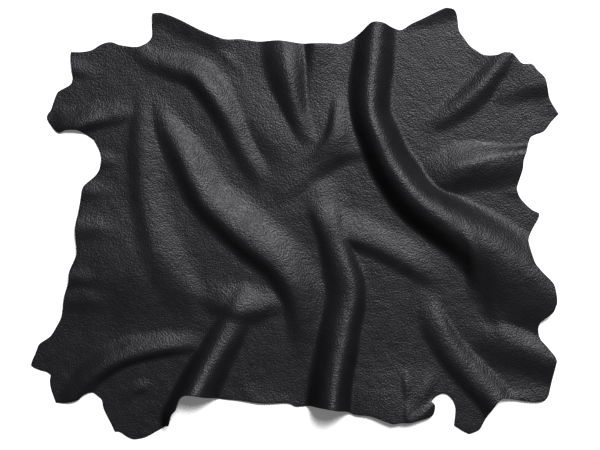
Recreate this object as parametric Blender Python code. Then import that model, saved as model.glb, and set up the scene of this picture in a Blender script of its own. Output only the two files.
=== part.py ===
"""A small soft leather hide, lying loosely folded on a level surface.

The hide is one thin sheet. Its cut outline and the lines of its folds are laid out on a
drawing grid, counted in squares across (to the right) and down (towards the near edge).
The grid is scaled so that the outline is HIDE_WIDTH wide, and its middle is the origin.
"""

from collections import namedtuple

import bpy
import numpy as np
from mathutils.geometry import delaunay_2d_cdt

# Driving dimensions, in metres.
HIDE_WIDTH = 0.860          # between the two widest lobes
THICKNESS = 0.0016          # soft garment leather
RESTING_LIFT = 0.0005       # what rises less than this lies flat on the surface
OUTLINE_STEP = 0.0125       # between points along the cut edge
FOLD_STEP = 0.0140          # between points along a fold
ROW_DISTANCES = (0.0, 0.0095, 0.019, 0.030, 0.043, 0.058, 0.075)  # of points beside a crest
FLAT_STEP = 0.0240          # between points where nothing rises
CLOSEST_SHARE = 0.60        # of its own step that a point keeps from the others

# Drawing constants, in squares of the grid.
CURVE_STEP = 2.0            # between samples of a fold's line
LINE_SOFTNESS = 4.0         # how far nearby samples of a fold's line are averaged
MEETING_POWER = 2.6         # how sharply folds that cross grow out of each other
FOOT_LENGTH = 1.25          # how far a fold's foot runs out, in spreads

# The cut edge, clockwise from the top left. Each stretch is one smooth line of
# (across, down), and the edge turns a corner where a stretch meets the next.
OUTLINE = {
    "left shoulder": [
        (71, 52), (82, 52), (92, 50), (100, 45), (107, 42.5), (113, 42.5), (120, 45),
        (134, 47), (141, 46), (148, 42), (152, 36), (152, 26), (152.5, 13.5),
    ],
    "back": [
        (152.5, 13.5), (160, 13), (168, 15), (180, 20), (202, 31), (224, 39), (240, 39),
        (258, 41.5), (278, 41), (300, 43.5), (328, 43.5), (342, 43.5), (352, 39),
        (362, 32), (370, 24.5), (375, 23), (383, 24), (391, 27.5), (400, 30), (405, 28),
        (411, 24), (422, 19), (443, 9), (449, 8.5), (454, 10), (457, 16), (459, 30),
        (464, 38), (470, 46), (477, 51), (484, 55), (496, 55.5), (503, 53), (511, 53.5),
        (516, 58), (522, 64), (531, 64.5), (537, 71), (544, 78), (547, 88), (550, 100),
        (558.5, 114),
    ],
    "right flank": [
        (558.5, 114), (551.5, 121.5), (544, 131), (534, 135), (530, 138.5), (526.5, 150),
        (523, 160), (522, 170), (517.5, 185), (517, 190), (521, 199), (531, 209),
        (539, 213),
    ],
    "right lobe": [
        (539, 213), (538.5, 218), (533, 228), (528.5, 238), (528.5, 245), (532.5, 260),
        (535, 265), (541, 272), (549, 280), (553, 286), (555.5, 300), (554, 307),
        (551, 313), (540, 322), (538, 330), (540, 339), (545, 345), (554, 356),
        (556, 361),
    ],
    "right foot": [
        (556, 361), (554, 370), (550, 389), (548, 396), (544, 400.5), (536, 402),
        (525, 401), (505, 398), (500, 399), (495, 404), (485, 420), (480, 429),
        (475, 432), (469, 434),
    ],
    "foot end": [(469, 434), (462, 430.5), (454, 425)],
    "foot notch": [
        (454, 425), (455.5, 410), (454, 403), (451, 398), (447, 394.5), (442, 393.5),
        (436, 396), (431, 401),
    ],
    "belly": [
        (431, 401), (434.5, 405), (433, 414), (428, 417.5), (421, 419), (411, 422),
        (400, 422.5), (393, 423.5), (386, 421.5), (370, 416), (355, 414.5), (343, 409.5),
        (327, 406), (312, 405.5), (297, 406.5), (291, 404), (284, 403), (262, 403.5),
        (240, 400.5), (222, 399), (206, 395.5), (194, 393), (186, 393.5), (181.5, 397.5),
        (178, 407), (174, 412), (172, 418), (170, 424),
    ],
    "left foot": [
        (170, 424), (163, 427.5), (148, 436), (140, 438.5), (133, 439), (127, 436.5),
        (120, 432), (115, 431.5),
    ],
    "left notch": [
        (115, 431.5), (112, 425), (104, 409), (102, 400), (98, 396), (93, 392.5),
        (88, 392.5), (83, 395), (78, 399.5), (70, 402), (62, 403), (56, 402.5),
    ],
    "left toe": [(56, 402.5), (54, 397), (51, 388), (50, 380), (51, 375)],
    "left heel": [(51, 375), (47, 372), (40, 370), (34, 367.5), (31, 365)],
    "left flank": [
        (31, 365), (32.5, 360), (36, 352), (39, 344.5), (45, 340), (50, 336.5), (54, 331),
        (60.5, 319), (62.5, 311), (65, 295), (69, 281), (70, 271), (76, 257), (77, 250),
        (76, 238), (76, 226), (79, 209), (81, 198), (83, 188), (86, 184), (95, 176),
        (99, 170), (101, 163), (101, 155), (95, 142), (91, 138), (80, 131), (73, 130),
        (66, 130.5), (58, 132.5), (50, 124), (47, 118), (48, 114), (51, 110), (53, 104),
        (57, 93.5), (61, 90), (70, 85), (72.5, 80), (72.5, 74), (70.5, 58), (71, 52),
    ],
}

# The folds. "foot" tells how softly the fold runs out at its foot: 2 is crisp, 3 soft.
# Each station is a point of the crest's line: how far across and down it lies, its height
# in millimetres, how far the fold spreads in squares to the left and to the right of
# someone who walks along it, and how full its top is: 0 is slim, 2.5 nearly flat on top.
Fold = namedtuple("Fold", "name foot stations")
Station = namedtuple("Station", "across down height left right fullness")
FOLDS = [
    Fold("main ridge", 3, [
        Station(378, 8, 15, 18, 13, 1.2),
        Station(374, 36, 19.5, 20, 15, 1.2),
        Station(371.5, 62, 24, 21, 17, 1.3),
        Station(369, 90, 28, 19.5, 18, 1.4),
        Station(369.5, 115, 31, 19.5, 17, 1.4),
        Station(377, 138, 34, 21.5, 16.5, 1.4),
        Station(387.5, 163, 36.5, 22.5, 17, 1.4),
        Station(404, 188, 38, 24, 18.5, 1.5),
        Station(419, 204, 38, 24, 19.5, 1.6),
        Station(440, 220, 36, 27, 20.5, 1.7),
        Station(463, 236, 32, 31, 22, 1.7),
        Station(489, 252, 27, 33, 32, 1.4),
        Station(516, 270, 21.5, 33, 42, 1),
        Station(541, 287, 17, 32, 46, 0.8),
        Station(572, 309, 14, 31, 44, 0.8),
    ]),
    Fold("shoulder fold", 3, [
        Station(128, 42, 0, 12, 10, 0),
        Station(140, 52, 2, 13, 11, 0),
        Station(153, 61, 3.5, 15, 12, 0),
        Station(175, 69, 7, 17, 13, 0),
        Station(194, 76, 11, 20, 13, 0),
        Station(206, 88, 13, 22, 13, 0),
        Station(219, 106, 12, 21, 13, 0),
        Station(232, 128, 9, 19, 13, 0),
        Station(243, 150, 6.5, 16, 13, 0),
        Station(254, 170, 4, 15, 13, 0),
        Station(264, 188, 0, 14, 12, 0),
    ]),
    Fold("broad ridge", 3, [
        Station(157, 104, 1, 13, 12, 0),
        Station(166, 126, 5, 16, 14, 0),
        Station(178, 148, 10, 22, 15, 0),
        Station(187, 168, 13, 26, 15, 0),
        Station(195, 185, 14, 28, 15, 0),
        Station(207, 205, 15.5, 31, 15, 0),
        Station(227.5, 225.5, 17, 35, 15, 0),
        Station(249.5, 246, 17.5, 36, 15, 0),
        Station(273.5, 265, 17, 34, 15, 0),
        Station(289, 285, 15, 31, 16, 0),
        Station(297, 305, 10, 27, 15, 0),
        Station(300, 326, 6, 22, 14, 0),
        Station(301, 346, 1, 18, 14, 0),
    ]),
    Fold("left ridge", 3, [
        Station(143, 96, 1, 14, 10, 0),
        Station(141, 120, 4, 17, 12, 0),
        Station(141, 150, 5.5, 20, 14, 0),
        Station(143, 190, 5.5, 22, 15, 0),
        Station(150, 224, 5, 24, 17, 0),
        Station(157, 246, 5, 25, 19, 0),
        Station(168, 266, 5, 25, 23, 0),
        Station(180, 283, 5, 22, 27, 0),
        Station(192, 295, 4, 18, 30, 0),
        Station(204, 302, 0, 14, 26, 0),
    ]),
    Fold("pinch head", 3, [
        Station(206, 297, 1, 20, 14, 0),
        Station(222, 304, 6, 24, 15, 0),
        Station(237, 311, 11.5, 29, 16, 0),
        Station(251, 310, 9, 26, 15, 0),
        Station(268, 306, 4.5, 20, 13, 0),
        Station(286, 302, 0, 18, 13, 0),
    ]),
    Fold("left pinch", 3, [
        Station(244, 296, 4, 13, 14, 1.8),
        Station(239, 306, 7, 14, 14, 1.8),
        Station(235, 318, 10, 16, 15, 1.8),
        Station(228, 332, 14, 17, 16, 1.8),
        Station(220, 346, 19, 18, 16, 1.8),
        Station(211, 362, 25.5, 19, 17, 1.8),
        Station(202, 379, 34, 20, 18, 1.8),
        Station(193, 398, 45, 22, 19, 1.8),
        Station(184, 418, 58, 22, 20, 1.8),
    ]),
    Fold("middle pinch", 3, [
        Station(315, 202, 0, 18, 10, 1.8),
        Station(321, 217, 5.5, 21, 10, 1.8),
        Station(327, 229, 9.5, 20, 12, 1.8),
        Station(334, 243, 13, 16, 15, 1.8),
        Station(342, 263, 15.5, 15, 19, 1.8),
        Station(349, 284, 17, 15, 22, 1.8),
        Station(349, 304, 19, 15, 22, 1.8),
        Station(343.5, 327, 24, 16, 22, 1.8),
        Station(339.5, 349, 29.5, 17, 22, 1.8),
        Station(335, 372, 36, 17, 22, 1.8),
        Station(332, 396, 43.5, 17, 22, 1.8),
        Station(330, 425, 53, 18, 22, 1.8),
    ]),
    Fold("branch fold", 3, [
        Station(336, 234, 5, 26, 10, 0),
        Station(350, 238, 7.5, 29, 12, 0),
        Station(364, 242, 7.5, 27, 12, 0),
        Station(379, 248, 6.5, 24, 12, 0),
        Station(394, 256, 6.5, 24, 12, 0),
        Station(408, 264, 6, 24, 12, 0),
        Station(423, 273, 4, 22, 12, 0),
        Station(438, 280, 0, 18, 11, 0),
    ]),
    Fold("top pinch", 3, [
        Station(283, 26, 5, 19, 22, 0.8),
        Station(284.5, 52, 11.5, 20, 22, 0.8),
        Station(287, 72, 15, 20, 20, 0.8),
        Station(291, 92, 13.5, 16, 16, 0.8),
        Station(296, 112, 9, 13, 12, 0.8),
        Station(303, 130, 4, 11, 11, 0.8),
        Station(309, 144, 0, 9, 10, 0.8),
    ]),
    Fold("panel step", 3, [
        Station(314, 30, 9, 28, 10, 0.4),
        Station(314, 50, 7.5, 28, 10, 0.4),
        Station(313, 70, 4.5, 28, 10, 0.4),
        Station(311, 92, 2, 26, 10, 0.4),
        Station(309, 114, 0, 20, 9, 0.4),
    ]),
    Fold("centre crease", 3, [
        Station(339, 92, 0, 12, 9, 0),
        Station(337, 108, 3.5, 14, 8, 0),
        Station(335, 123, 6, 20, 8, 0),
        Station(331, 139, 6.5, 24, 9, 0),
        Station(321, 152, 3.5, 20, 10, 0),
        Station(308, 162, 0, 16, 11, 0),
    ]),
    Fold("right corner", 3, [
        Station(513, 42, 8, 14, 15, 0),
        Station(503, 59, 9, 15, 15, 0),
        Station(491, 75, 9.5, 15, 15, 0),
        Station(476, 92, 9.5, 15, 15, 0),
        Station(461, 106, 8, 14, 15, 0),
        Station(445, 118, 5, 12, 14, 0),
        Station(428, 126, 0, 11, 13, 0),
    ]),
    Fold("right ear", 3, [
        Station(470, 44, 0, 12, 16, 0),
        Station(490, 52, 3, 12, 30, 0),
        Station(508, 56, 5, 12, 36, 0),
        Station(524, 62, 7, 12, 38, 0),
        Station(540, 71, 7, 12, 38, 0),
        Station(552, 82, 5, 12, 32, 0),
        Station(560, 96, 2, 12, 24, 0),
    ]),
    Fold("right plait", 2.5, [
        Station(418, 192, 0, 18, 12, 0),
        Station(430, 187, 4, 21, 15, 0),
        Station(444, 179, 9, 27, 18, 0),
        Station(462, 171, 12.5, 27, 21, 0),
        Station(482, 164, 12, 22, 25, 0),
        Station(504, 157.5, 10, 12, 30, 0),
        Station(525, 153, 8.5, 8, 30, 0),
        Station(550, 148, 8, 8, 28, 0),
    ]),
    Fold("right knee", 3, [
        Station(478, 328, 0, 14, 16, 0.2),
        Station(490, 336, 6, 18, 22, 0.2),
        Station(506, 344, 9, 24, 26, 0.2),
        Station(528, 351, 9, 22, 24, 0.2),
        Station(552, 360, 8.5, 16, 24, 0.2),
        Station(572, 368, 8, 16, 24, 0.2),
    ]),
    Fold("foot ridge", 3, [
        Station(427, 298, 0, 9, 14, 1.5),
        Station(433, 312, 4, 10, 16, 1.5),
        Station(440, 329, 7.5, 12, 17, 1.8),
        Station(449, 349, 9.5, 15, 14, 2),
        Station(460, 365, 10, 17, 13, 2),
        Station(474, 381, 11, 19, 13, 1.8),
        Station(490, 398, 12.5, 20, 14, 1.5),
        Station(500, 412, 14, 20, 14, 1),
        Station(508, 424, 15, 18, 14, 1),
    ]),
    Fold("left foot fold", 2.5, [
        Station(73, 397, 6, 14, 9, 0.2),
        Station(83, 386, 9.5, 15, 10, 0.2),
        Station(94, 376, 12, 17, 10, 0.2),
        Station(110, 365, 12.5, 19, 9, 0.2),
        Station(132, 356, 11, 19, 8, 0.2),
        Station(157, 350, 9, 17, 8, 0.2),
        Station(180, 346, 5, 14, 8, 0.2),
        Station(200, 344, 0, 13, 8, 0.2),
    ]),
    Fold("left ear", 3, [
        Station(68, 128, 7, 20, 9, 0.2),
        Station(80, 126, 9, 20, 9, 0.2),
        Station(92, 122, 8, 19, 9, 0.2),
        Station(106, 118, 5, 18, 10, 0.2),
        Station(122, 114, 3, 16, 11, 0.2),
        Station(138, 110, 0, 14, 11, 0.2),
    ]),
    Fold("middle ripple", 3, [
        Station(66, 229, 4, 14, 15, 0),
        Station(82, 228, 4, 14, 14, 0),
        Station(99, 228, 3, 13, 13, 0),
        Station(114, 230, 0, 11, 11, 0),
    ]),
    Fold("back rim", 3, [
        Station(150, 10, 3, 15, 18, 0),
        Station(172, 12, 5, 15, 20, 0),
        Station(196, 24, 6, 15, 20, 0),
        Station(218, 34, 5, 15, 18, 0),
        Station(236, 38, 0, 15, 15, 0),
    ]),
    Fold("crown rim", 3, [
        Station(412, 20, 2, 13, 11, 0),
        Station(428, 12, 5, 13, 15, 0),
        Station(446, 4, 7, 13, 17, 0),
        Station(462, 2, 6, 13, 15, 0),
    ]),
]


def clear_scene():
    for thing in list(bpy.data.objects):
        bpy.data.objects.remove(thing, do_unlink=True)


def smooth_line(points, step):
    """A Catmull-Rom curve through the points, with a sample about every step."""
    points = np.asarray(points, float)
    before = 2 * points[0] - points[1]
    after = 2 * points[-1] - points[-2]
    held = np.vstack([before, points, after])
    samples = []
    for a, b, c, d in zip(held[:-3], held[1:-2], held[2:-1], held[3:]):
        count = max(2, round(float(np.hypot(*(c - b)[:2])) / step))
        t = (np.arange(count) / count)[:, None]
        bend = 2 * a - 5 * b + 4 * c - d
        samples.append(b + 0.5 * ((c - a) * t + bend * t**2 + (3 * b - a - 3 * c + d) * t**3))
    samples.append(points[-1:])
    return np.vstack(samples)


def directions(line):
    """The unit vectors along a line of (across, down) and to the left of it."""
    along = np.gradient(line, axis=0)
    along /= np.linalg.norm(along, axis=1)[:, None]
    return along, np.stack([along[:, 1], -along[:, 0]], axis=1)


def fold_height(points, fold):
    """The fold's height in millimetres over each point of the grid.

    Nearby samples of the crest's line are averaged, so that the height stays smooth
    inside its bends. Across the fold it falls as (1 - u * u) ** foot * (1 + fullness * u * u),
    where u is the distance from the crest as a share of the fold's reach on that side.
    """
    line = smooth_line(fold.stations, CURVE_STEP)
    along, left = directions(line[:, :2])
    widest = line[:, 3:5].max() * FOOT_LENGTH
    low, high = line[:, :2].min(axis=0) - widest, line[:, :2].max(axis=0) + widest
    near = ((points > low) & (points < high)).all(axis=1)
    offset = points[near, None, :] - line[None, :, :2]
    squared = (offset**2).sum(axis=2)
    weight = np.exp(-(squared - squared.min(axis=1, keepdims=True)) / (2 * LINE_SOFTNESS**2))
    weight /= weight.sum(axis=1, keepdims=True)
    to_left = (weight * (offset * left).sum(axis=2)).sum(axis=1)
    past_end = (weight * (offset * along).sum(axis=2)).sum(axis=1)
    crest, left_width, right_width, fullness = (weight @ line[:, 2:]).T
    distance = np.hypot(to_left, past_end) + 1e-9
    width = 0.5 * (left_width + right_width + (left_width - right_width) * to_left / distance)
    share = np.minimum(distance / (width * FOOT_LENGTH), 1.0)
    profile = (1.0 - share**2) ** fold.foot * (1.0 + fullness * share**2)
    height = np.zeros(len(points))
    height[near] = np.maximum(crest, 0.0) * profile
    return height


def hide_height(points):
    """The underside's height in metres: all folds together, grown into each other."""
    total = sum(fold_height(points, fold) ** MEETING_POWER for fold in FOLDS)
    height = total ** (1.0 / MEETING_POWER) / 1000.0
    return np.where(height < RESTING_LIFT, 0.0, height)


def rows_along(fold, square):
    """Points in rows beside the crest of a fold, the crest's own row first."""
    line = smooth_line(fold.stations, FOLD_STEP / square)
    left = directions(line[:, :2])[1]
    rows = []
    for distance in ROW_DISTANCES:
        squares = distance / square
        for side, width in ((squares, line[:, 3]), (-squares, line[:, 4])):
            rows.append((line[:, :2] + left * side)[squares < width])
    return np.vstack(rows)


def even_points(low, high, step):
    """A field of points in staggered rows, each a step from its six neighbours."""
    row_step = step * 0.75**0.5
    points = []
    for row, down in enumerate(np.arange(low[1], high[1], row_step)):
        across = np.arange(low[0] + step * (row % 2) / 2, high[0], step)
        points.append(np.stack([across, np.full(len(across), down)], axis=1))
    return np.vstack(points)


def thin_out(kept, candidates, distance):
    """The points kept so far and each candidate that is the distance from all of them."""
    found = list(kept)
    for point in candidates:
        gaps = np.asarray(found) - point
        if (gaps**2).sum(axis=1).min() > distance**2:
            found.append(point)
    return np.asarray(found)


def sheet_points(edge, square):
    """The points that the sheet's triangles use, those of the cut edge first."""
    points = edge
    for fold in sorted(FOLDS, key=lambda fold: -max(s.height for s in fold.stations)):
        points = thin_out(points, rows_along(fold, square), FOLD_STEP / square * CLOSEST_SHARE)
    step = FLAT_STEP / square
    field = even_points(edge.min(axis=0), edge.max(axis=0), step)
    return thin_out(points, field, step * CLOSEST_SHARE)


def leather():
    material = bpy.data.materials.new("black leather")
    material.use_nodes = True
    shader = material.node_tree.nodes["Principled BSDF"]
    shader.inputs["Base Color"].default_value = (0.016, 0.016, 0.018, 1.0)
    shader.inputs["Roughness"].default_value = 0.45
    shader.inputs["Metallic"].default_value = 0.0
    return material


def build_hide():
    whole = np.vstack([smooth_line(stretch, CURVE_STEP)[:-1] for stretch in OUTLINE.values()])
    low, high = whole.min(axis=0), whole.max(axis=0)
    square = HIDE_WIDTH / (high[0] - low[0])
    step = OUTLINE_STEP / square
    edge = np.vstack([smooth_line(stretch, step)[:-1] for stretch in OUTLINE.values()])
    points = sheet_points(edge, square)

    # Triangles inside the edge. The grid counts downwards, so its rows are turned over
    # here and the edge's order is reversed to run anticlockwise.
    flat = (points - (low + high) / 2) * (square, -square)
    loop = list(range(len(edge)))[::-1]
    vertices, _, faces, *_ = delaunay_2d_cdt([tuple(p) for p in flat], [], [loop], 1, 1e-6)
    plan = np.array([tuple(v) for v in vertices])
    height = hide_height(plan / (square, -square) + (low + high) / 2)

    mesh = bpy.data.meshes.new("hide")
    mesh.from_pydata([(*p, h) for p, h in zip(plan, height)], [], faces)
    mesh.materials.append(leather())
    mesh.shade_smooth()
    hide = bpy.data.objects.new("hide", mesh)
    bpy.context.collection.objects.link(hide)

    # The sheet above is the underside, and the leather's thickness stands on it.
    wall = hide.modifiers.new("thickness", "SOLIDIFY")
    wall.thickness = THICKNESS
    wall.offset = 1.0
    wall.use_even_offset = True
    return hide


clear_scene()
build_hide()
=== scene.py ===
import math

import bpy
import numpy as np
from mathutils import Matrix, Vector
from mathutils.geometry import delaunay_2d_cdt


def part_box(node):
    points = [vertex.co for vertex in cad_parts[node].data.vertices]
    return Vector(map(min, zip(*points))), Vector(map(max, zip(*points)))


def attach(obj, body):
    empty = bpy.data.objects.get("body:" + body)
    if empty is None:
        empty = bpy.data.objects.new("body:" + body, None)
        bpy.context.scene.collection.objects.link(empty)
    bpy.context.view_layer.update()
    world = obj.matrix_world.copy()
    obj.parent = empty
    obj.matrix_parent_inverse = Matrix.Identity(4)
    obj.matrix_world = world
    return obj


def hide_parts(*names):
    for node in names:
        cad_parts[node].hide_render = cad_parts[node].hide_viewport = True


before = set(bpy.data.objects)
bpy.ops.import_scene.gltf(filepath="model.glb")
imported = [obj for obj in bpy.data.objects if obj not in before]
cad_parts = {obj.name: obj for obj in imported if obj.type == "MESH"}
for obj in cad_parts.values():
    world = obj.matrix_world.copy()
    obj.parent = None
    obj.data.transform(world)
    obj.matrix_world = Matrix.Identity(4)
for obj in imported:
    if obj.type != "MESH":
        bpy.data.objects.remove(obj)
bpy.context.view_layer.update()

# A black leather hide, laid out loosely on a table and looked at from straight above.
# It is drawn on a cutting grid of equal squares, counted across, to the right, and down,
# towards the near edge. Places and spreads in the tables are in squares, heights in millimetres.

# the cut edge, clockwise; the line is smooth within a stretch and turns at its ends
hideOutline = {
    "leftShoulder": [
        (71, 52), (82, 52), (92, 50), (100, 45), (107, 42.5), (113, 42.5), (120, 45), (134, 47),
        (141, 46), (148, 42), (152, 36), (152, 26), (152.5, 13.5),
    ],
    "back": [
        (152.5, 13.5), (160, 13), (168, 15), (180, 20), (202, 31), (224, 39), (240, 39),
        (258, 41.5), (278, 41), (300, 43.5), (328, 43.5), (342, 43.5), (352, 39), (362, 32),
        (370, 24.5), (375, 23), (383, 24), (391, 27.5), (400, 30), (405, 28), (411, 24), (422, 19),
        (443, 9), (449, 8.5), (454, 10), (457, 16), (459, 30), (464, 38), (470, 46), (477, 51),
        (484, 55), (496, 55.5), (503, 53), (511, 53.5), (516, 58), (522, 64), (531, 64.5),
        (537, 71), (544, 78), (547, 88), (550, 100), (558.5, 114),
    ],
    "rightFlank": [
        (558.5, 114), (551.5, 121.5), (544, 131), (534, 135), (530, 138.5), (526.5, 150), (523, 160),
        (522, 170), (517.5, 185), (517, 190), (521, 199), (531, 209), (539, 213),
    ],
    "rightLobe": [
        (539, 213), (538.5, 218), (533, 228), (528.5, 238), (528.5, 245), (532.5, 260), (535, 265),
        (541, 272), (549, 280), (553, 286), (555.5, 300), (554, 307), (551, 313), (540, 322),
        (538, 330), (540, 339), (545, 345), (554, 356), (556, 361),
    ],
    "rightFoot": [
        (556, 361), (554, 370), (550, 389), (548, 396), (544, 400.5), (536, 402), (525, 401),
        (505, 398), (500, 399), (495, 404), (485, 420), (480, 429), (475, 432), (469, 434),
    ],
    "footEnd": [
        (469, 434), (462, 430.5), (454, 425),
    ],
    "footNotch": [
        (454, 425), (455.5, 410), (454, 403), (451, 398), (447, 394.5), (442, 393.5), (436, 396),
        (431, 401),
    ],
    "belly": [
        (431, 401), (434.5, 405), (433, 414), (428, 417.5), (421, 419), (411, 422), (400, 422.5),
        (393, 423.5), (386, 421.5), (370, 416), (355, 414.5), (343, 409.5), (327, 406), (312, 405.5),
        (297, 406.5), (291, 404), (284, 403), (262, 403.5), (240, 400.5), (222, 399), (206, 395.5),
        (194, 393), (186, 393.5), (181.5, 397.5), (178, 407), (174, 412), (172, 418), (170, 424),
    ],
    "leftFoot": [
        (170, 424), (163, 427.5), (148, 436), (140, 438.5), (133, 439), (127, 436.5), (120, 432),
        (115, 431.5),
    ],
    "leftNotch": [
        (115, 431.5), (112, 425), (104, 409), (102, 400), (98, 396), (93, 392.5), (88, 392.5),
        (83, 395), (78, 399.5), (70, 402), (62, 403), (56, 402.5),
    ],
    "leftToe": [
        (56, 402.5), (54, 397), (51, 388), (50, 380), (51, 375),
    ],
    "leftHeel": [
        (51, 375), (47, 372), (40, 370), (34, 367.5), (31, 365),
    ],
    "leftFlank": [
        (31, 365), (32.5, 360), (36, 352), (39, 344.5), (45, 340), (50, 336.5), (54, 331),
        (60.5, 319), (62.5, 311), (65, 295), (69, 281), (70, 271), (76, 257), (77, 250), (76, 238),
        (76, 226), (79, 209), (81, 198), (83, 188), (86, 184), (95, 176), (99, 170), (101, 163),
        (101, 155), (95, 142), (91, 138), (80, 131), (73, 130), (66, 130.5), (58, 132.5), (50, 124),
        (47, 118), (48, 114), (51, 110), (53, 104), (57, 93.5), (61, 90), (70, 85), (72.5, 80),
        (72.5, 74), (70.5, 58), (71, 52),
    ],
}

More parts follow.
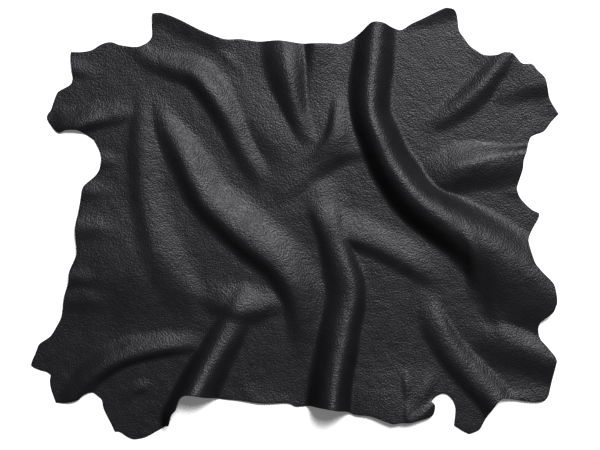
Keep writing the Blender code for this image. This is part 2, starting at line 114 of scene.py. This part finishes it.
# the main folds: name, fullness of the crest (one for all its points or one each), softness of
# the foot (2 is crisp, 3 soft), then points of the crest as (across, down, height, spread to the
# left, spread to the right) for someone who walks along it
foldTable = {
    "mainRidge": ((1.2, 1.2, 1.3, 1.4, 1.4, 1.4, 1.4, 1.5, 1.6, 1.7, 1.7, 1.4, 1, 0.8, 0.8), 3, [
        (378, 8, 15, 18, 13), (374, 36, 19.5, 20, 15), (371.5, 62, 24, 21, 17),
        (369, 90, 28, 19.5, 18), (369.5, 115, 31, 19.5, 17), (377, 138, 34, 21.5, 16.5),
        (387.5, 163, 36.5, 22.5, 17), (404, 188, 38, 24, 18.5), (419, 204, 38, 24, 19.5),
        (440, 220, 36, 27, 20.5), (463, 236, 32, 31, 22), (489, 252, 27, 33, 32),
        (516, 270, 21.5, 33, 42), (541, 287, 17, 32, 46), (572, 309, 14, 31, 44),
    ]),
    "shoulderFold": (0, 3, [
        (128, 42, 0, 12, 10), (140, 52, 2, 13, 11), (153, 61, 3.5, 15, 12), (175, 69, 7, 17, 13),
        (194, 76, 11, 20, 13), (206, 88, 13, 22, 13), (219, 106, 12, 21, 13),
        (232, 128, 9, 19, 13), (243, 150, 6.5, 16, 13), (254, 170, 4, 15, 13),
        (264, 188, 0, 14, 12),
    ]),
    "broadRidge": (0, 3, [
        (157, 104, 1, 13, 12), (166, 126, 5, 16, 14), (178, 148, 10, 22, 15),
        (187, 168, 13, 26, 15), (195, 185, 14, 28, 15), (207, 205, 15.5, 31, 15),
        (227.5, 225.5, 17, 35, 15), (249.5, 246, 17.5, 36, 15), (273.5, 265, 17, 34, 15),
        (289, 285, 15, 31, 16), (297, 305, 10, 27, 15), (300, 326, 6, 22, 14),
        (301, 346, 1, 18, 14),
    ]),
    "leftRidge": (0, 3, [
        (143, 96, 1, 14, 10), (141, 120, 4, 17, 12), (141, 150, 5.5, 20, 14), (143, 190, 5.5, 22, 15),
        (150, 224, 5, 24, 17), (157, 246, 5, 25, 19), (168, 266, 5, 25, 23),
        (180, 283, 5, 22, 27), (192, 295, 4, 18, 30), (204, 302, 0, 14, 26),
    ]),
    "pinchHead": (0, 3, [
        (206, 297, 1, 20, 14), (222, 304, 6, 24, 15), (237, 311, 11.5, 29, 16), (251, 310, 9, 26, 15),
        (268, 306, 4.5, 20, 13), (286, 302, 0, 18, 13),
    ]),
    "leftPinch": (1.8, 3, [
        (244, 296, 4, 13, 14), (239, 306, 7, 14, 14), (235, 318, 10, 16, 15), (228, 332, 14, 17, 16),
        (220, 346, 19, 18, 16), (211, 362, 25.5, 19, 17), (202, 379, 34, 20, 18),
        (193, 398, 45, 22, 19), (184, 418, 58, 22, 20),
    ]),
    "middlePinch": (1.8, 3, [
        (315, 202, 0, 18, 10), (321, 217, 5.5, 21, 10), (327, 229, 9.5, 20, 12),
        (334, 243, 13, 16, 15), (342, 263, 15.5, 15, 19), (349, 284, 17, 15, 22),
        (349, 304, 19, 15, 22), (343.5, 327, 24, 16, 22), (339.5, 349, 29.5, 17, 22),
        (335, 372, 36, 17, 22), (332, 396, 43.5, 17, 22), (330, 425, 53, 18, 22),
    ]),
    "branchFold": (0, 3, [
        (336, 234, 5, 26, 10), (350, 238, 7.5, 29, 12), (364, 242, 7.5, 27, 12), (379, 248, 6.5, 24, 12),
        (394, 256, 6.5, 24, 12), (408, 264, 6, 24, 12), (423, 273, 4, 22, 12), (438, 280, 0, 18, 11),
    ]),
    "topPinch": (0.8, 3, [
        (283, 26, 5, 19, 22), (284.5, 52, 11.5, 20, 22), (287, 72, 15, 20, 20), (291, 92, 13.5, 16, 16),
        (296, 112, 9, 13, 12), (303, 130, 4, 11, 11), (309, 144, 0, 9, 10),
    ]),
    "panelStep": (0.4, 3, [
        (314, 30, 9, 28, 10), (314, 50, 7.5, 28, 10), (313, 70, 4.5, 28, 10), (311, 92, 2, 26, 10),
        (309, 114, 0, 20, 9),
    ]),
    "centreCrease": (0, 3, [
        (339, 92, 0, 12, 9), (337, 108, 3.5, 14, 8), (335, 123, 6, 20, 8), (331, 139, 6.5, 24, 9),
        (321, 152, 3.5, 20, 10), (308, 162, 0, 16, 11),
    ]),
    "streakFold": (0, 3, [
        (228, 76, 0, 26, 18), (240, 96, 2, 29, 22), (254, 118, 3.2, 31, 22), (270, 139, 3.5, 31, 20),
        (286, 158, 1.5, 28, 20), (298, 172, 0, 24, 16),
    ]),
    "rightCorner": (0, 3, [
        (513, 42, 8, 14, 15), (503, 59, 9, 15, 15), (491, 75, 9.5, 15, 15), (476, 92, 9.5, 15, 15),
        (461, 106, 8, 14, 15), (445, 118, 5, 12, 14), (428, 126, 0, 11, 13),
    ]),
    "rightEar": (0, 3, [
        (470, 44, 0, 12, 16), (490, 52, 3, 12, 30), (508, 56, 5, 12, 36), (524, 62, 7, 12, 38),
        (540, 71, 7, 12, 38), (552, 82, 5, 12, 32), (560, 96, 2, 12, 24),
    ]),
    "earTip": (0, 3, [
        (566, 82, 6, 16, 30), (550, 83, 6, 16, 30), (530, 86, 5.5, 15, 28), (510, 92, 4, 14, 26),
        (494, 100, 0, 13, 20),
    ]),
    "rightPlait": (0, 2.5, [
        (418, 192, 0, 18, 12), (430, 187, 4, 21, 15), (444, 179, 9, 27, 18), (462, 171, 12.5, 27, 21),
        (482, 164, 12, 22, 25), (504, 157.5, 10, 12, 30), (525, 153, 8.5, 8, 30),
        (550, 148, 8, 8, 28),
    ]),
    "cuffRipple": (0, 3, [
        (532, 190, 1.6, 8, 8), (516, 191, 1.6, 8, 8), (502, 193, 0, 7, 8),
    ]),
    "rightKnee": (0.2, 3, [
        (478, 328, 0, 14, 16), (490, 336, 6, 18, 22), (506, 344, 9, 24, 26), (528, 351, 9, 22, 24),
        (552, 360, 8.5, 16, 24), (572, 368, 8, 16, 24),
    ]),
    "footRidge": ((1.5, 1.5, 1.8, 2, 2, 1.8, 1.5, 1, 1), 3, [
        (427, 298, 0, 9, 14), (433, 312, 4, 10, 16), (440, 329, 7.5, 12, 17), (449, 349, 9.5, 15, 14),
        (460, 365, 10, 17, 13), (474, 381, 11, 19, 13), (490, 398, 12.5, 20, 14),
        (500, 412, 14, 20, 14), (508, 424, 15, 18, 14),
    ]),
    "leftFootFold": (0.2, 2.5, [
        (73, 397, 6, 14, 9), (83, 386, 9.5, 15, 10), (94, 376, 12, 17, 10), (110, 365, 12.5, 19, 9),
        (132, 356, 11, 19, 8), (157, 350, 9, 17, 8), (180, 346, 5, 14, 8), (200, 344, 0, 13, 8),
    ]),
    "leftEar": (0.2, 3, [
        (68, 128, 7, 20, 9), (80, 126, 9, 20, 9), (92, 122, 8, 19, 9), (106, 118, 5, 18, 10),
        (122, 114, 3, 16, 11), (138, 110, 0, 14, 11),
    ]),
    "leftBrow": (0, 3, [
        (56, 66, 3, 12, 10), (72, 68, 3, 12, 10), (84, 71, 2, 12, 10), (96, 74, 0, 12, 10),
    ]),
    "upperRipple": (0, 3, [
        (88, 160, 3, 10, 10), (104, 160, 2.5, 10, 10), (118, 162, 0, 10, 10),
    ]),
    "cheekRipple": (0, 3, [
        (72, 192, 3, 12, 11), (90, 191, 3, 12, 11), (110, 192, 0, 11, 10),
    ]),
    "middleRipple": (0, 3, [
        (66, 229, 4, 14, 15), (82, 228, 4, 14, 14), (99, 228, 3, 13, 13), (114, 230, 0, 11, 11),
    ]),
    "flankRipple": (0, 3, [
        (60, 279, 2.5, 11, 9), (78, 278, 2.5, 11, 9), (98, 279, 0, 10, 9),
    ]),
    "lowerRipple": (0, 3, [
        (54, 300, 2.5, 13, 12), (74, 300, 2.5, 13, 12), (91, 301, 2, 13, 12), (106, 303, 0, 11, 11),
    ]),
    "backRim": (0, 3, [
        (150, 10, 3, 15, 18), (172, 12, 5, 15, 20), (196, 24, 6, 15, 20), (218, 34, 5, 15, 18),
        (236, 38, 0, 15, 15),
    ]),
    "crownRim": (0, 3, [
        (412, 20, 2, 13, 11), (428, 12, 5, 13, 15), (446, 4, 7, 13, 17), (462, 2, 6, 13, 15),
    ]),
}

# smaller creases, soft troughs (height below 0) and swells, in the same form, which are added
# on top of the main folds
creaseTable = {
    "panelSwell": (0, 3, [
        (270, 200, 0, 50, 14), (288, 188, 3, 62, 14), (305, 175, 4.5, 76, 14), (322, 163, 5.5, 84, 14),
        (340, 153.5, 5.5, 84, 13), (357, 148, 3, 76, 13),
    ]),
    "plaitLip": (0, 3, [
        (436, 174, 0, 10, 8), (456, 168, 1.5, 10, 8), (474, 163, 1.5, 10, 8), (490, 158, 0, 9, 8),
    ]),
    "valleyShelf": (0, 3, [
        (464, 230, 0, 10, 8), (470, 250, 4, 10, 8), (473, 266, 5, 10, 9), (475, 284, 3.5, 10, 9),
        (477, 302, 0, 10, 9),
    ]),
    "kneeBank": (0, 3, [
        (478, 268, 0, 22, 12), (486, 284, 4, 34, 14), (494, 304, 5.5, 38, 15), (503, 324, 4.5, 34, 15),
        (512, 342, 0, 22, 14),
    ]),
    "saddleSwell": (0, 3, [
        (240, 204, 0, 50, 36), (262, 212, 3.5, 58, 44), (288, 218, 4.5, 60, 48), (312, 222, 3, 54, 44),
        (332, 224, 0, 44, 36),
    ]),
    "wedgeSwell": (0, 3, [
        (318, 176, 0, 22, 26), (321, 190, 3, 22, 28), (326, 206, 4, 22, 28), (333, 221, 3, 20, 26),
        (341, 236, 0, 18, 22),
    ]),
    "flankSwell": (0, 3, [
        (60, 268, 3, 80, 52), (100, 270, 6.5, 82, 54), (140, 274, 7, 76, 56), (184, 286, 0, 60, 48),
    ]),
    "bottomRim": (0, 3, [
        (222, 410, 0, 26, 10), (246, 412, 3.5, 28, 10), (280, 416, 3.5, 28, 10), (302, 422, 0, 26, 10),
    ]),
    "napeRim": (0, 3, [
        (338, 420, 0, 56, 14), (364, 424, 6, 70, 14), (392, 430, 10, 74, 14), (418, 432, 9, 72, 14),
        (440, 434, 3, 60, 14), (456, 436, 0, 44, 10),
    ]),
    "kneeRim": (0, 3, [
        (494, 404, 0, 22, 10), (515, 407, 3.5, 24, 10), (540, 408, 3.5, 24, 10), (560, 404, 2, 22, 10),
    ]),
    "browPleat": (0, 3, [
        (96, 44, -1.2, 6, 6), (99, 55, -1.2, 6, 6), (103, 66, 0, 6, 6),
    ]),
    "napePleat": (0, 3, [
        (119, 44, -1.2, 6, 6), (121, 54, -1, 6, 6), (124, 64, 0, 6, 6),
    ]),
    "backPleat": (0, 3, [
        (214, 46, 0, 7, 6), (224, 55, 1, 7, 6), (234, 64, 1, 7, 6), (244, 73, 0, 7, 6),
    ]),
    "crownDimple": (0, 3, [
        (447, 78, 0, 9, 9), (454, 84, -1.2, 10, 10), (460, 90, 0, 9, 9),
    ]),
    "bottomTuck": (0, 3, [
        (405, 371, 0, 5, 4), (405.5, 380, 2.2, 5, 4), (406.5, 391, 2.2, 5, 4), (406, 400, 0, 4, 4),
    ]),
    "hemTuck": (0, 3, [
        (408, 401, 0, 4, 4), (407, 409, 1.8, 4, 4), (407, 421, 2.2, 4, 4),
    ]),
    "notchPleat": (0, 3, [
        (434, 374, 0, 9, 9), (428, 384, 2, 9, 9), (422, 396, 2, 9, 9), (418, 406, 0, 8, 8),
    ]),
    "notchCurl": (0, 3, [
        (408, 423, 0, 7, 5), (416, 418, 2.4, 7, 5), (426, 411, 3, 7, 5), (435, 402, 2.4, 7, 5),
    ]),
    "kneeSpot": (0, 3, [
        (510, 398, 0, 8, 8), (518, 397, 1.6, 8, 8), (527, 399, 0, 8, 8),
    ]),
    "footKnot": (0, 3, [
        (124, 399, 0, 8, 8), (132, 393, 2.2, 9, 8), (141, 387, 2.6, 9, 8), (151, 384, 0, 8, 8),
    ]),
    "footArc": (0, 3, [
        (128, 394, 0, 7, 7), (140, 399, -1.6, 7, 7), (149, 407, -1.8, 7, 7), (153, 419, 0, 7, 7),
    ]),
    "bellyDent": (0, 3, [
        (240, 380, 0, 9, 9), (247, 389, 1.2, 10, 9), (256, 395, 0, 9, 9),
    ]),
}

hide = {
    "pointSpacing": 0.00342,    # metres between neighbouring points of the sheet
    "edgeSpacing": 0.0030,      # and along its cut edge
    "edgeClearance": 0.55,      # share of pointSpacing that inner points keep from the edge
    "thickness": 0.0016,        # metres
    "edgeRounding": 0.0004,     # metres, as the cut edge is slightly worn round
    "edgeAngle": 60.0,          # degrees of turn from which a corner is worn
    "edgeSteps": 2,
    "lineStep": 2.0,            # squares between samples of a crest or of the outline
    "lineSoftness": 4.0,        # squares over which neighbouring samples are averaged
    "meetingPower": 2.6,        # how sharply crossing folds grow out of each other
    "footLength": 1.25,         # how far a fold's soft foot runs out, in spreads
    "flatSize": (0.90, 0.73),   # metres, the skin smoothed out
    "flatArea": 0.515,          # square metres, as its outline is no rectangle
}


def smoothLine(points, step):
    # Catmull-Rom curve through the points: between b and c, with a before them and d after,
    # it is b + ((c - a) t + (2a - 5b + 4c - d) t^2 + (3b - a - 3c + d) t^3) / 2 for t from 0 to 1
    points = np.asarray(points, float)
    # one more point straight on past each end
    held = np.vstack([2 * points[0] - points[1], points, 2 * points[-1] - points[-2]])
    pieces = []
    for a, b, c, d in zip(held[:-3], held[1:-2], held[2:-1], held[3:]):
        count = max(2, round(float(np.hypot(*(c - b)[:2])) / step))
        t = (np.arange(count) / count)[:, None]
        bend = 2 * a - 5 * b + 4 * c - d
        pieces.append(b + 0.5 * ((c - a) * t + bend * t**2 + (3 * b - a - 3 * c + d) * t**3))
    return np.vstack(pieces + [points[-1:]])


def foldHeight(points, fullness, foot, stations):
    # height = crest * (1 - share^2)^foot * (1 + fullness * share^2), where share is the distance
    # from the crest / (footLength * spread); the samples of the crest near a point are
    # averaged with the weight exp(-(distance^2 - smallest distance^2) / (2 lineSoftness^2))
    stations = np.column_stack([stations, np.broadcast_to(fullness, len(stations))])
    line = smoothLine(stations, hide["lineStep"])
    along = np.gradient(line[:, :2], axis=0)
    along /= np.linalg.norm(along, axis=1)[:, None]
    left = np.stack([along[:, 1], -along[:, 0]], axis=1)
    reach = hide["footLength"] * line[:, 3:5].max()
    low = line[:, :2].min(axis=0) - reach
    high = line[:, :2].max(axis=0) + reach
    near = ((points > low) & (points < high)).all(axis=1)    # the rest lie past the fold's foot
    offset = points[near, None, :] - line[None, :, :2]
    squared = (offset**2).sum(axis=2)
    closest = squared.min(axis=1, keepdims=True)
    weight = np.exp(-(squared - closest) / (2 * hide["lineSoftness"] ** 2))
    weight /= weight.sum(axis=1, keepdims=True)
    toLeft = (weight * (offset * left).sum(axis=2)).sum(axis=1)
    pastEnd = (weight * (offset * along).sum(axis=2)).sum(axis=1)
    crest, leftSpread, rightSpread, fullness = (weight @ line[:, 2:]).T
    distance = np.hypot(toLeft, pastEnd) + 1e-9    # never 0, as toLeft is divided by it
    spread = 0.5 * (leftSpread + rightSpread + (leftSpread - rightSpread) * toLeft / distance)
    share = np.minimum(distance / (hide["footLength"] * spread), 1.0)
    height = np.zeros(len(points))
    height[near] = crest * (1.0 - share**2) ** foot * (1.0 + fullness * share**2)
    return height


def hideHeight(points):
    # the main folds grow into each other as (sum of height^power)^(1 / power);
    # the creases and swells are then added, and nothing sinks below the table
    power = hide["meetingPower"]
    total = np.zeros(len(points))
    for fullness, foot, stations in foldTable.values():
        total += np.maximum(foldHeight(points, fullness, foot, stations), 0.0) ** power
    height = total ** (1.0 / power)
    for fullness, foot, stations in creaseTable.values():
        height += foldHeight(points, fullness, foot, stations)
    return np.maximum(height, 0.0) / 1000.0


def inChunks(work, points, size=6000):
    # part by part, so that the tables of distances stay small
    parts = np.array_split(points, math.ceil(len(points) / size))
    return np.concatenate([work(part) for part in parts])


def gapToEdge(points, edge):
    # distance from each point to the nearest point of the cut edge
    return np.sqrt(((points[:, None, :] - edge[None, :, :]) ** 2).sum(axis=2).min(axis=1))


def staggeredPoints(low, high, step):
    # rows sqrt(3)/2 of a step apart, every other one shifted by half a step
    rows = np.arange(low[1], high[1], step * math.sqrt(0.75))
    columns = np.arange(low[0], high[0], step)
    across, down = np.meshgrid(columns, rows)
    across[1::2] += step / 2
    return np.stack([across.ravel(), down.ravel()], axis=1)


def addMesh(name, vertices, faces):
    mesh = bpy.data.meshes.new(name)
    mesh.vertices.add(len(vertices))
    mesh.vertices.foreach_set("co", np.asarray(vertices, np.float32).ravel())
    mesh.loops.add(faces.size)
    mesh.loops.foreach_set("vertex_index", faces.ravel().astype(np.int32))
    mesh.polygons.add(len(faces))
    mesh.polygons.foreach_set("loop_start", np.arange(0, faces.size, 3, dtype=np.int32))
    mesh.update(calc_edges=True)
    mesh.validate()
    piece = bpy.data.objects.new(name, mesh)
    bpy.context.collection.objects.link(piece)
    return piece


def cutEdge(step):
    # the stretches of the outline joined into one closed line, without its repeated corners
    return np.vstack([smoothLine(part, step)[:-1] for part in hideOutline.values()])


def cuttingGrid():
    # the outline is as wide as the CAD hide: metres a square = width / squares across
    edge = cutEdge(hide["lineStep"])
    low = edge.min(axis=0)
    high = edge.max(axis=0)
    cadLow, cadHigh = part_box("hide")
    square = (cadHigh.x - cadLow.x) / (high[0] - low[0])
    return low, high, square


def flatTriangles(points, edgeCount):
    # triangles between the points, inside the line through the first edgeCount of them;
    # gives back the points that are used, and three of their numbers for each triangle
    loop = list(range(edgeCount))[::-1]    # counter-clockwise, so that the faces point up
    tooClose = 1e-7                        # metres between points that are taken for one
    corners, _, faces, *_ = delaunay_2d_cdt(points.tolist(), [], [loop], 1, tooClose)
    used, faces = np.unique(np.array(faces), return_inverse=True)
    return np.array(corners)[used], faces.reshape(-1, 3)


def makeHide():
    low, high, square = cuttingGrid()
    middle = (low + high) / 2
    edge = cutEdge(hide["edgeSpacing"] / square)
    step = hide["pointSpacing"] / square
    field = staggeredPoints(low, high, step)
    gaps = inChunks(lambda part: gapToEdge(part, edge), field)
    field = field[gaps > hide["edgeClearance"] * step]

    # metres on the table = (squares - middle) * square, with down the picture as -y
    flip = np.array([square, -square])
    points = (np.vstack([edge, field]) - middle) * flip
    plan, faces = flatTriangles(points, len(edge))
    height = inChunks(hideHeight, plan / flip + middle)
    print("hide:", len(plan), "points a side,", len(faces), "triangles a side")
    return addMesh("leatherHide", np.column_stack([plan, height]), faces)


def finishHide(piece):
    wall = piece.modifiers.new("thickness", "SOLIDIFY")
    wall.thickness = hide["thickness"]
    wall.offset = 1.0               # upwards from the table
    wall.use_even_offset = True
    wall.material_offset = 1        # the flesh side
    wall.material_offset_rim = 2    # the cut edge
    worn = piece.modifiers.new("worn edge", "BEVEL")
    worn.width = hide["edgeRounding"]
    worn.segments = hide["edgeSteps"]
    worn.limit_method = "ANGLE"
    worn.angle_limit = math.radians(hide["edgeAngle"])
    piece.data.shade_smooth()


# the three sides of the leather; sizes and heights are in metres
grainLooks = {
    "colour": (0.0082, 0.0081, 0.0098, 1.0),
    "paleColour": (0.0126, 0.0124, 0.0143, 1.0),    # where the dye is a little thin
    "glossiest": 0.41,         # roughness of the glossiest patches
    "dullest": 0.49,           # and of the dullest ones
    "pebbleSize": 0.0026,      # across one pebble of the grain
    "pebbleHeight": 0.00046,
    "pebbleSoftness": 0.35,    # how far neighbouring pebbles run together
    "pebbleReach": 0.8,        # how far a pebble's dome runs out from its middle, in pebbles
    "wrinkleSize": 0.0011,     # the fine lines between and on the pebbles
    "wrinkleHeight": 0.00014,
    "bagginessSize": 0.020,    # the shallow dents and swells of the soft skin
    "bagginessHeight": 0.0012,
    "unevenSize": 0.030,       # slow changes in colour and gloss
    "unevenRange": (0.3, 0.7),     # values of their noise between which the gloss changes
}

fleshLooks = {
    "colour": (0.030, 0.028, 0.028, 1.0),
    "roughness": 0.95,
    "shine": 0.2,
    "fuzz": 0.15,
    "napSize": 0.0008,
    "napHeight": 0.00015,
}

cutLooks = {
    "colour": (0.040, 0.039, 0.040, 1.0),
    "roughness": 0.8,
    "fibreSize": 0.0006,
    "fibreHeight": 0.00015,
}


def newMaterial(name):
    material = bpy.data.materials.new(name)
    material.use_nodes = True
    return material, material.node_tree.nodes, material.node_tree.links


def addNoise(nodes, links, place, size, detail=3.0):
    noise = nodes.new("ShaderNodeTexNoise")
    noise.inputs["Scale"].default_value = 1.0 / size
    noise.inputs["Detail"].default_value = detail
    links.new(place.outputs["Object"], noise.inputs["Vector"])
    return noise


def addBump(nodes, links, height, distance, before=None):
    bump = nodes.new("ShaderNodeBump")
    bump.inputs["Distance"].default_value = distance
    links.new(height, bump.inputs["Height"])
    if before is not None:
        links.new(before.outputs["Normal"], bump.inputs["Normal"])
    return bump


def addBlend(nodes, links, share, fromColour, toColour):
    blend = nodes.new("ShaderNodeMix")
    blend.data_type = "RGBA"
    links.new(share, blend.inputs["Factor"])
    blend.inputs["A"].default_value = fromColour
    blend.inputs["B"].default_value = toColour
    return blend


def addRange(nodes, links, value, fromEnds, toEnds):
    span = nodes.new("ShaderNodeMapRange")
    links.new(value, span.inputs["Value"])
    span.inputs["From Min"].default_value = fromEnds[0]
    span.inputs["From Max"].default_value = fromEnds[1]
    span.inputs["To Min"].default_value = toEnds[0]
    span.inputs["To Max"].default_value = toEnds[1]
    return span


def grainSide():
    # pebbles are domes between the lines of a Voronoi pattern, as high as 1 - distance / reach;
    # their bump is laid over that of the soft skin's shallow dents and that of the fine lines
    material, nodes, links = newMaterial("black pebbled grain")
    shader = nodes["Principled BSDF"]
    place = nodes.new("ShaderNodeTexCoord")

    pebbles = nodes.new("ShaderNodeTexVoronoi")
    pebbles.feature = "SMOOTH_F1"
    pebbles.inputs["Scale"].default_value = 1.0 / grainLooks["pebbleSize"]
    pebbles.inputs["Smoothness"].default_value = grainLooks["pebbleSoftness"]
    links.new(place.outputs["Object"], pebbles.inputs["Vector"])
    reach = grainLooks["pebbleReach"]
    domes = addRange(nodes, links, pebbles.outputs["Distance"], (0.0, reach), (1.0, 0.0))
    wrinkles = addNoise(nodes, links, place, grainLooks["wrinkleSize"], detail=2.0)
    fine = addBump(nodes, links, wrinkles.outputs["Fac"], grainLooks["wrinkleHeight"])
    baggy = addNoise(nodes, links, place, grainLooks["bagginessSize"])
    loose = addBump(nodes, links, baggy.outputs["Fac"], grainLooks["bagginessHeight"], fine)
    grain = addBump(nodes, links, domes.outputs["Result"], grainLooks["pebbleHeight"], loose)
    links.new(grain.outputs["Normal"], shader.inputs["Normal"])

    uneven = addNoise(nodes, links, place, grainLooks["unevenSize"])
    tint = addBlend(nodes, links, uneven.outputs["Fac"], grainLooks["colour"], grainLooks["paleColour"])
    links.new(tint.outputs["Result"], shader.inputs["Base Color"])
    glossRange = (grainLooks["glossiest"], grainLooks["dullest"])
    gloss = addRange(nodes, links, uneven.outputs["Fac"], grainLooks["unevenRange"], glossRange)
    links.new(gloss.outputs["Result"], shader.inputs["Roughness"])
    return material


def fleshSide():
    material, nodes, links = newMaterial("dark suede")
    shader = nodes["Principled BSDF"]
    shader.inputs["Base Color"].default_value = fleshLooks["colour"]
    shader.inputs["Roughness"].default_value = fleshLooks["roughness"]
    shader.inputs["Specular IOR Level"].default_value = fleshLooks["shine"]
    shader.inputs["Sheen Weight"].default_value = fleshLooks["fuzz"]
    place = nodes.new("ShaderNodeTexCoord")
    nap = addNoise(nodes, links, place, fleshLooks["napSize"])
    bump = addBump(nodes, links, nap.outputs["Fac"], fleshLooks["napHeight"])
    links.new(bump.outputs["Normal"], shader.inputs["Normal"])
    return material


def cutSide():
    material, nodes, links = newMaterial("cut leather edge")
    shader = nodes["Principled BSDF"]
    shader.inputs["Base Color"].default_value = cutLooks["colour"]
    shader.inputs["Roughness"].default_value = cutLooks["roughness"]
    place = nodes.new("ShaderNodeTexCoord")
    fibres = addNoise(nodes, links, place, cutLooks["fibreSize"])
    bump = addBump(nodes, links, fibres.outputs["Fac"], cutLooks["fibreHeight"])
    links.new(bump.outputs["Normal"], shader.inputs["Normal"])
    return material


leatherHide = makeHide()
finishHide(leatherHide)
for side in (grainSide(), fleshSide(), cutSide()):
    leatherHide.data.materials.append(side)
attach(leatherHide, "root")
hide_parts("hide")
print("materials done")


# the table, the lights and the camera; places and sizes in metres
studio = {
    "viewWidth": 600,           # squares of the cutting grid from side to side of the picture
    "viewCentre": (300, 225),   # the square in the middle of the picture
    "cameraHeight": 2.2,
    "sensorWidth": 36.0,        # millimetres
    "keyPlace": (1.11, 2.18, 3.01),
    "keySize": 1.4,
    "keyPower": 138.0,          # watts
    "keyColour": (0.96, 0.955, 1.0),
    "tableReach": 12.0,         # from the middle of the table to its sides
    "tableColour": (0.85, 0.85, 0.85, 1.0),
    "tableLight": 3.6,          # sunlight strength on the table alone
    "tableLightAngle": 26.0,    # degrees, so that shadows on the table are soft
    "tableGlow": 0.13,          # keeps those shadows pale
    "fillStrength": 0.082,      # even light from all round
}
white = (1.0, 1.0, 1.0, 1.0)


def makeTable():
    reach = studio["tableReach"]
    corners = [(-reach, -reach, 0.0), (reach, -reach, 0.0), (reach, reach, 0.0), (-reach, reach, 0.0)]
    mesh = bpy.data.meshes.new("table")
    mesh.from_pydata(corners, [], [(0, 1, 2, 3)])
    table = bpy.data.objects.new("table", mesh)
    bpy.context.collection.objects.link(table)
    material, nodes, _ = newMaterial("white table")
    shader = nodes["Principled BSDF"]
    shader.inputs["Base Color"].default_value = studio["tableColour"]
    shader.inputs["Roughness"].default_value = 1.0
    shader.inputs["Specular IOR Level"].default_value = 0.0
    shader.inputs["Emission Color"].default_value = white
    shader.inputs["Emission Strength"].default_value = studio["tableGlow"]
    mesh.materials.append(material)
    # the bright table doesn't light the leather, so that the sides of the folds stay dark
    table.visible_diffuse = False
    table.visible_glossy = False
    return table


def addLight(name, light, place):
    # a light that stands at the place and is turned to the middle of the hide
    lamp = bpy.data.objects.new(name, light)
    bpy.context.collection.objects.link(lamp)
    lamp.location = place
    lamp.rotation_euler = (-Vector(place)).to_track_quat("-Z", "Y").to_euler()
    return lamp


def makeLights(table):
    key = bpy.data.lights.new("key", "AREA")
    key.shape = "DISK"
    key.size = studio["keySize"]
    key.energy = studio["keyPower"]
    key.color = studio["keyColour"]
    keyLight = addLight("key", key, studio["keyPlace"])
    keyLight.visible_camera = False

    wash = bpy.data.lights.new("table light", "SUN")
    wash.energy = studio["tableLight"]
    wash.angle = math.radians(studio["tableLightAngle"])
    washLight = addLight("table light", wash, studio["keyPlace"])
    lit = bpy.data.collections.new("lit by the table light")
    lit.objects.link(table)
    washLight.light_linking.receiver_collection = lit

    world = bpy.data.worlds.new("studio")
    bpy.context.scene.world = world
    world.use_nodes = True
    sky = world.node_tree.nodes["Background"]
    sky.inputs["Color"].default_value = white
    sky.inputs["Strength"].default_value = studio["fillStrength"]


def makeCamera():
    # straight down; focal length = sensor width * height above the table / width of the view
    low, high, square = cuttingGrid()
    centre = (np.array(studio["viewCentre"]) - (low + high) / 2) * (square, -square)
    lens = bpy.data.cameras.new("camera")
    lens.sensor_width = studio["sensorWidth"]
    lens.lens = studio["sensorWidth"] * studio["cameraHeight"] / (studio["viewWidth"] * square)
    camera = bpy.data.objects.new("camera", lens)
    bpy.context.collection.objects.link(camera)
    camera.location = (centre[0], centre[1], studio["cameraHeight"])
    bpy.context.scene.camera = camera


makeLights(makeTable())
makeCamera()
bpy.context.scene.view_settings.view_transform = "Standard"
print("studio done")
